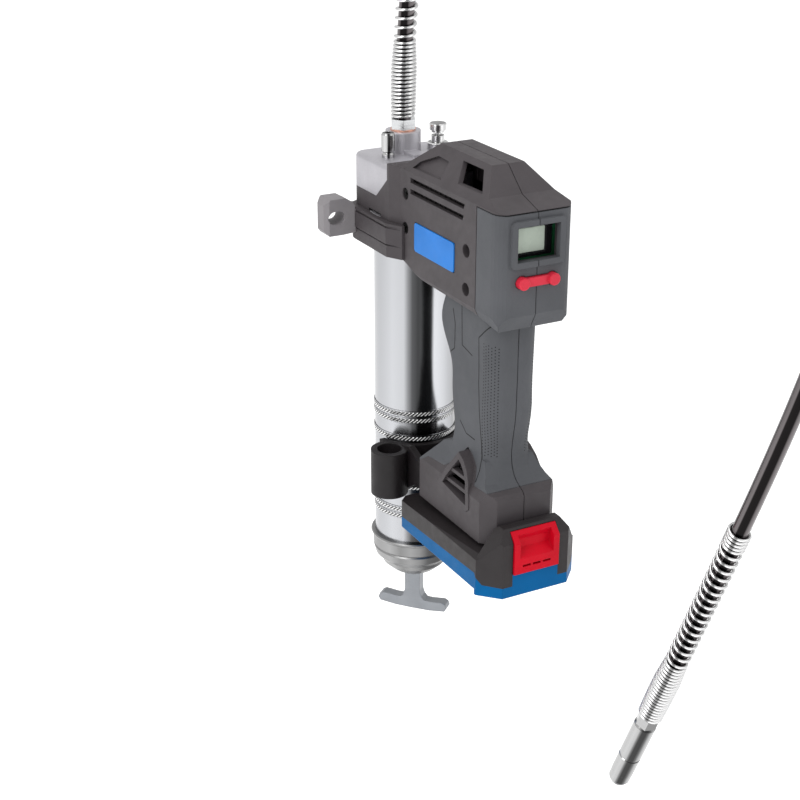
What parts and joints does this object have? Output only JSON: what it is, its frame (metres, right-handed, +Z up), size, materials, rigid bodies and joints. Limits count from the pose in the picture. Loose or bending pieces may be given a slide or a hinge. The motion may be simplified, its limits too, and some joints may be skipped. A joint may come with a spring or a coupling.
{
  "type": "cordless grease gun",
  "caption": "Cordless grease gun with an upright grease barrel, pistol grip, slide-on battery, display and a hose with spring guards and a grease coupler.",
  "frame": {"origin": "middle of the hand grip", "axes": "+Z up along the grip and the grease barrel, +Y forwards to the barrel, +X to the tool's right"},
  "size_m": [0.1269, 0.3885, 0.667],
  "materials": {
    "hard_plastic": "fine-grained moulded",
    "soft_grip": "matt, textured zones on the grip",
    "cast_head": "as cast, fine grain",
    "eye_plastic": "moulded",
    "black_plastic": "satin",
    "copper": "soft annealed washer",
    "zinc_bright": "bright zinc plated",
    "zinc_satin": "satin zinc plated",
    "barrel_chrome": "bright plated",
    "spring_steel": "drawn wire",
    "steel": "ground",
    "badge_blue": "plain, no lettering",
    "button_red": "satin",
    "display": "grey liquid crystal behind a window",
    "board_green": "solder-masked",
    "motor_steel": "rolled can",
    "gearbox_alloy": "die cast",
    "pack_black": "fine-grained",
    "pack_blue": "satin",
    "latch_red": "satin",
    "cell_wrap": "shrink-wrapped cells",
    "contact_brass": "stamped",
    "hose_black": "smooth thermoplastic cover",
    "nitrile": "moulded"
  },
  "bodies": {
    "handle": {"housing_left": "hard_plastic", "housing_right": "hard_plastic", "overmould_left": "soft_grip", "overmould_right": "soft_grip", "pump_head": "cast_head", "barrel_collar": "hard_plastic", "strap_eye_left": "eye_plastic", "strap_eye_right": "eye_plastic", "outlet_washer": "copper", "hose_adapter": "zinc_bright", "filler_nipple": "zinc_bright", "bleeder_body": "zinc_bright", "check_ball": "steel", "check_spring": "spring_steel", "barrel_bracket": "black_plastic", "side_badge_left": "badge_blue", "side_badge_right": "badge_blue", "housing_screws": "steel", "display_module": "display", "control_board": "board_green", "motor_can": "motor_steel", "gearbox_case": "gearbox_alloy", "trigger_switch": "black_plastic", "trigger_spring": "spring_steel", "terminal_block": "black_plastic", "hose_tube": "hose_black", "port_spring_guard": "zinc_bright", "end_spring_guard": "zinc_bright", "coupler_hex": "zinc_satin", "grease_coupler": "zinc_satin", "coupler_nose": "zinc_satin"},
    "gasket_ring": {"barrel_gasket": "nitrile"},
    "barrel": {"grease_barrel": "barrel_chrome", "end_cap": "zinc_satin", "rod_guide": "nitrile", "follower_spring": "spring_steel"},
    "follower": {"follower_rod": "zinc_bright", "pull_handle": "zinc_satin", "follower_cup": "nitrile", "follower_plate": "steel"},
    "bleeder_knob": {"bleeder_knob": "zinc_bright"},
    "rocker": {"button_rocker": "button_red"},
    "rotor": {"motor_rotor": "steel"},
    "cam": {"cam_shaft": "steel"},
    "plunger": {"pump_plunger": "steel"},
    "trigger": {"trigger": "black_plastic"},
    "battery": {"battery_upper_shell": "pack_black", "battery_lower_shell": "pack_blue", "battery_cells": "cell_wrap", "battery_contacts": "contact_brass"},
    "latch": {"battery_latch": "latch_red"}
  },
  "joints": [
    {"name": "barrel_turn", "type": "hinge", "parent": "handle", "child": "gasket_ring", "pos_m": [0, 0.108, 0], "axis": [0, 0, -1], "range_deg": [0, 1080]},
    {"name": "barrel_unscrew", "type": "slide", "parent": "gasket_ring", "child": "barrel", "axis": [0, 0, -1], "range_m": [0, 0.012]},
    {"name": "rod_pull", "type": "slide", "parent": "barrel", "child": "follower", "axis": [0, 0, -1], "range_m": [0, 0.19], "deforming": ["follower_spring"]},
    {"name": "bleed_press", "type": "slide", "parent": "handle", "child": "bleeder_knob", "axis": [0, 0, -1], "range_m": [0, 0.002], "stiffness_N_per_m": 1500, "springref_m": -0.0005},
    {"name": "rocker_tilt", "type": "hinge", "parent": "handle", "child": "rocker", "pos_m": [0, -0.0434, 0.087], "axis": [0, 0, 1], "range_deg": [-3, 3], "stiffness_Nm_per_rad": 0.4},
    {"name": "motor_spin", "type": "hinge", "parent": "handle", "child": "rotor", "pos_m": [0, 0, 0.09], "axis": [0, 1, 0], "continuous": true},
    {"name": "cam_spin", "type": "hinge", "parent": "handle", "child": "cam", "pos_m": [0, 0, 0.09], "axis": [0, 1, 0], "continuous": true},
    {"name": "plunger_stroke", "type": "slide", "parent": "handle", "child": "plunger", "axis": [0, 0, 1], "range_m": [0, 0.007], "stiffness_N_per_m": 900, "springref_m": -0.001},
    {"name": "trigger_pull", "type": "slide", "parent": "handle", "child": "trigger", "axis": [0, -1, 0], "range_m": [0, 0.007], "stiffness_N_per_m": 800, "springref_m": -0.001, "deforming": ["trigger_spring"]},
    {"name": "battery_slide", "type": "slide", "parent": "handle", "child": "battery", "axis": [0, -1, 0], "range_m": [0, 0.08]},
    {"name": "latch_press", "type": "slide", "parent": "battery", "child": "latch", "axis": [0, 1, 0], "range_m": [0, 0.002], "stiffness_N_per_m": 3000, "springref_m": -0.0003}
  ],
  "couplings": [
    {"joint": "barrel_unscrew", "follows": "barrel_turn", "m_per_rad": 0.00063662},
    {"joint": "cam_spin", "follows": "motor_spin", "ratio": 0.1859}
  ]
}
